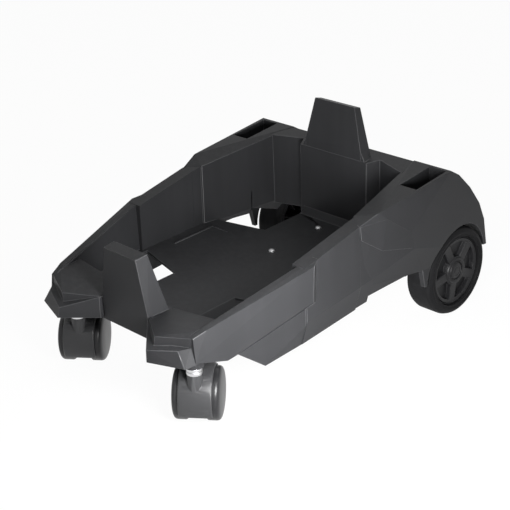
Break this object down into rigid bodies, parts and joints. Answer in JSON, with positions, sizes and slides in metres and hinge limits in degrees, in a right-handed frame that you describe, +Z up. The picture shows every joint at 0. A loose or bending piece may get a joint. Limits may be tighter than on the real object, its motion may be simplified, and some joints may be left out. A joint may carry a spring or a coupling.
{
  "type": "wheeled cradle",
  "caption": "Faceted dark plastic tray on wheels that carries a machine: swivel casters under the noses, fixed wheels in rear arches, an upright tongue at each end, slots for a handle.",
  "frame": {"origin": "centre of the footprint's box, on the ground", "axes": "+Z up, +Y from the casters to the rear wheels, +X to the right when seen from behind the casters looking along +Y"},
  "size_m": [0.334, 0.548, 0.279],
  "materials": {
    "moulding": "satin moulded charcoal plastic",
    "tyre": "smooth black tyre",
    "wheel_plastic": "black moulded plastic",
    "caster_wheel": "black nylon",
    "bearing": "natural nylon",
    "steel": "bright steel",
    "stud": "plated steel",
    "collar": "bright plated steel"
  },
  "bodies": {
    "chassis": {"chassis": "moulding", "floor_stud_front": "stud", "floor_stud_rear": "stud", "rear_axle": "steel", "axle_washer_left": "steel", "axle_retainer_left": "steel", "caster_sleeve_left": "bearing", "axle_washer_right": "steel", "axle_retainer_right": "steel", "caster_sleeve_right": "bearing"},
    "rear_wheel_left": {"tyre_left": "tyre", "rim_left": "wheel_plastic", "hub_bush_left": "bearing", "hub_cap_left": "wheel_plastic"},
    "rear_wheel_right": {"tyre_right": "tyre", "rim_right": "wheel_plastic", "hub_bush_right": "bearing", "hub_cap_right": "wheel_plastic"},
    "caster_left": {"caster_hood_left": "wheel_plastic", "caster_stem_left": "steel", "caster_collar_left": "collar", "caster_pin_left": "steel"},
    "caster_left_wheel_inner": {"caster_wheel_inner_left": "caster_wheel"},
    "caster_left_wheel_outer": {"caster_wheel_outer_left": "caster_wheel"},
    "caster_right": {"caster_hood_right": "wheel_plastic", "caster_stem_right": "steel", "caster_collar_right": "collar", "caster_pin_right": "steel"},
    "caster_right_wheel_inner": {"caster_wheel_inner_right": "caster_wheel"},
    "caster_right_wheel_outer": {"caster_wheel_outer_right": "caster_wheel"}
  },
  "joints": [
    {"name": "rear_wheel_left_roll", "type": "hinge", "parent": "chassis", "child": "rear_wheel_left", "pos_m": [-0.137, 0.202, 0.061], "axis": [1, 0, 0], "continuous": true},
    {"name": "rear_wheel_right_roll", "type": "hinge", "parent": "chassis", "child": "rear_wheel_right", "pos_m": [0.137, 0.202, 0.061], "axis": [1, 0, 0], "continuous": true},
    {"name": "caster_left_swivel", "type": "hinge", "parent": "chassis", "child": "caster_left", "pos_m": [-0.106, -0.226, 0.07], "axis": [0, 0, 1], "continuous": true},
    {"name": "caster_left_wheel_inner_roll", "type": "hinge", "parent": "caster_left", "child": "caster_left_wheel_inner", "pos_m": [-0.11954, -0.20866, 0.032], "axis": [0.788, 0.6157, 0], "continuous": true},
    {"name": "caster_left_wheel_outer_roll", "type": "hinge", "parent": "caster_left", "child": "caster_left_wheel_outer", "pos_m": [-0.11954, -0.20866, 0.032], "axis": [0.788, 0.6157, 0], "continuous": true},
    {"name": "caster_right_swivel", "type": "hinge", "parent": "chassis", "child": "caster_right", "pos_m": [0.106, -0.226, 0.07], "axis": [0, 0, 1], "continuous": true},
    {"name": "caster_right_wheel_inner_roll", "type": "hinge", "parent": "caster_right", "child": "caster_right_wheel_inner", "pos_m": [0.09245, -0.20866, 0.032], "axis": [0.788, 0.6157, 0], "continuous": true},
    {"name": "caster_right_wheel_outer_roll", "type": "hinge", "parent": "caster_right", "child": "caster_right_wheel_outer", "pos_m": [0.09245, -0.20866, 0.032], "axis": [0.788, 0.6157, 0], "continuous": true}
  ]
}
